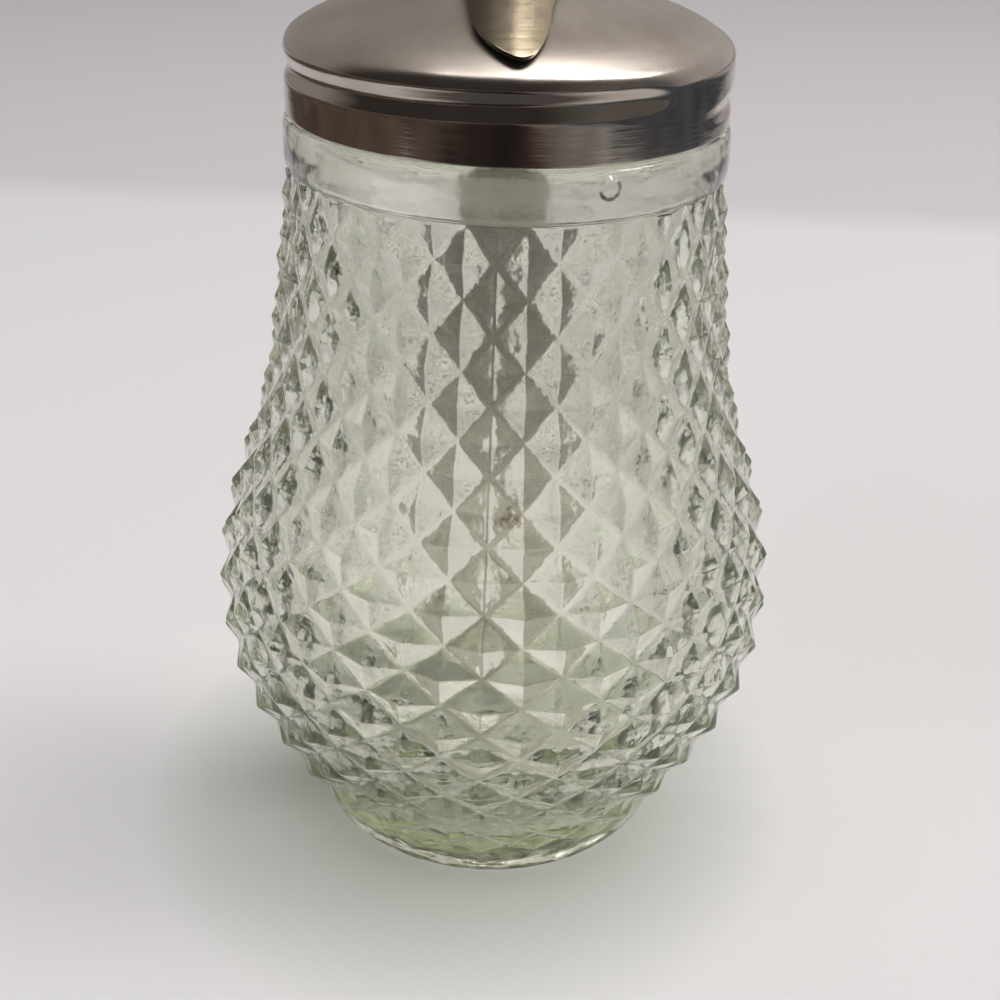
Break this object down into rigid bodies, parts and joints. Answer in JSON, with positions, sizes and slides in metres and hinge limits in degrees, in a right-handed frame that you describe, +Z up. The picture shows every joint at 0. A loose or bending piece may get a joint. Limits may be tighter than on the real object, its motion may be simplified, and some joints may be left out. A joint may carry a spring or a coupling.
{
  "type": "sugar dispenser with flap",
  "caption": "Pear-shaped pressed-glass sugar dispenser with diamond points, a domed chrome screw lid, a central dosing tube and an oblique spout closed by a long hinged flap.",
  "frame": {"origin": "centre of the foot's underside, on the surface the dispenser stands on", "axes": "+Z up along the jar's axis, -Y towards the flap's tip and the pouring side, +X to the right seen from the pouring side"},
  "size_m": [0.089, 0.089, 0.1507],
  "materials": {
    "glass": "clear, faint green",
    "seal": "matte",
    "tube_metal": "satin",
    "lid_chrome": "worn polish",
    "liner_plastic": "moulded",
    "spout_chrome": "worn polish",
    "collar_chrome": "worn polish",
    "ring_steel": "turned",
    "bracket_chrome": "worn polish",
    "pin_steel": "turned",
    "flap_chrome": "polished"
  },
  "bodies": {
    "jar": {"glass_jar": "glass"},
    "seal": {"sealing_ring": "seal"},
    "tube": {"dosing_tube": "tube_metal"},
    "lid": {"lid_shell": "lid_chrome", "lid_liner": "liner_plastic", "spout": "spout_chrome", "spout_collar": "collar_chrome", "lock_ring": "ring_steel", "hinge_bracket": "bracket_chrome", "hinge_pin": "pin_steel"},
    "flap": {"flap": "flap_chrome"}
  },
  "joints": [
    {"name": "lid_lift", "type": "slide", "parent": "jar", "child": "seal", "axis": [0, 0, 1], "range_m": [0, 0.12]},
    {"name": "lid_rise", "type": "slide", "parent": "seal", "child": "tube", "axis": [0, 0, 1], "range_m": [0, 0.00635]},
    {"name": "lid_turn", "type": "hinge", "parent": "tube", "child": "lid", "pos_m": [0, 0, 0.12], "axis": [0, 0, 1], "range_deg": [0, 450]},
    {"name": "flap_hinge", "type": "hinge", "parent": "lid", "child": "flap", "pos_m": [0, 0.01056, 0.14846], "axis": [-1, 0, 0], "range_deg": [0, 100]}
  ],
  "couplings": [
    {"joint": "lid_rise", "follows": "lid_turn", "m_per_rad": 0.00079577}
  ]
}
